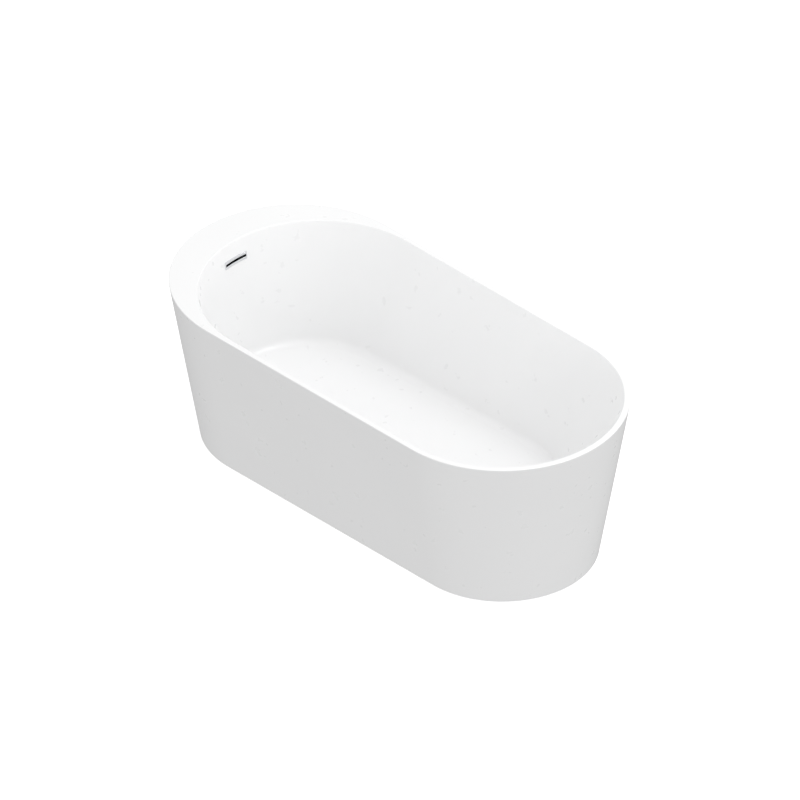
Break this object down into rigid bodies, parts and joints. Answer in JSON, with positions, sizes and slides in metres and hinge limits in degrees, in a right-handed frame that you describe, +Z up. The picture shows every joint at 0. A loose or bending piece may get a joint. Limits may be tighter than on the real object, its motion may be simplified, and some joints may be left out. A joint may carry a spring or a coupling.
{
  "type": "freestanding bathtub",
  "caption": "Freestanding double-walled bath with a leaning oval skirt, flat rim, wide deck end with slot overflow, sloped back, push waste and levelling feet.",
  "frame": {"origin": "on the ground, under the centre of the rim outline", "axes": "+X towards the sloped backrest end, -X towards the deck with overflow and waste, +Y across, +Z up"},
  "size_m": [1.7, 0.8, 0.57],
  "materials": {
    "white_acrylic": "gloss white acrylic",
    "resin": "rough cast resin",
    "board": "plain particle board",
    "zinc_steel": "zinc plated",
    "chrome": "polished chrome",
    "seal_rubber": "matt",
    "white_plastic": "moulded plastic",
    "brass": "turned",
    "grey_hose": "flexible hose",
    "dark_plastic": "moulded plastic",
    "foot_plastic": "moulded plastic"
  },
  "bodies": {
    "tub": {"basin": "white_acrylic", "skirt": "white_acrylic", "resin_bedding": "resin", "base_board": "board", "rail_left": "zinc_steel", "rail_right": "zinc_steel", "cross_bar_deck": "zinc_steel", "cross_bar_back": "zinc_steel", "board_screws": "zinc_steel", "cradle_bolts": "zinc_steel", "cradle_nuts": "zinc_steel", "foot_weld_nuts": "zinc_steel", "foot_lock_nuts": "zinc_steel", "waste_flange": "chrome", "waste_flange_gasket": "seal_rubber", "waste_floor_gasket": "seal_rubber", "waste_body": "white_plastic", "outlet_seal": "seal_rubber", "outlet_nut": "white_plastic", "outlet_pipe": "white_plastic", "push_cartridge": "brass", "overflow_trim": "chrome", "overflow_gasket": "seal_rubber", "overflow_box": "dark_plastic", "overflow_screws": "zinc_steel", "overflow_hose": "grey_hose", "hose_clips": "zinc_steel"},
    "stopper": {"stopper_cap": "chrome", "stopper_seal": "seal_rubber", "stopper_stem": "brass"},
    "foot_deck_left": {"foot_pad_deck_left": "foot_plastic", "foot_stud_deck_left": "zinc_steel"},
    "foot_deck_right": {"foot_pad_deck_right": "foot_plastic", "foot_stud_deck_right": "zinc_steel"},
    "foot_back_left": {"foot_pad_back_left": "foot_plastic", "foot_stud_back_left": "zinc_steel"},
    "foot_back_right": {"foot_pad_back_right": "foot_plastic", "foot_stud_back_right": "zinc_steel"}
  },
  "joints": [
    {"name": "stopper_press", "type": "slide", "parent": "tub", "child": "stopper", "axis": [0, 0, 1], "range_m": [0, 0.008]},
    {"name": "foot_height_deck_left", "type": "slide", "parent": "tub", "child": "foot_deck_left", "axis": [0, 0, -1], "range_m": [-0.003, 0.015]},
    {"name": "foot_height_deck_right", "type": "slide", "parent": "tub", "child": "foot_deck_right", "axis": [0, 0, -1], "range_m": [-0.003, 0.015]},
    {"name": "foot_height_back_left", "type": "slide", "parent": "tub", "child": "foot_back_left", "axis": [0, 0, -1], "range_m": [-0.003, 0.015]},
    {"name": "foot_height_back_right", "type": "slide", "parent": "tub", "child": "foot_back_right", "axis": [0, 0, -1], "range_m": [-0.003, 0.015]}
  ]
}
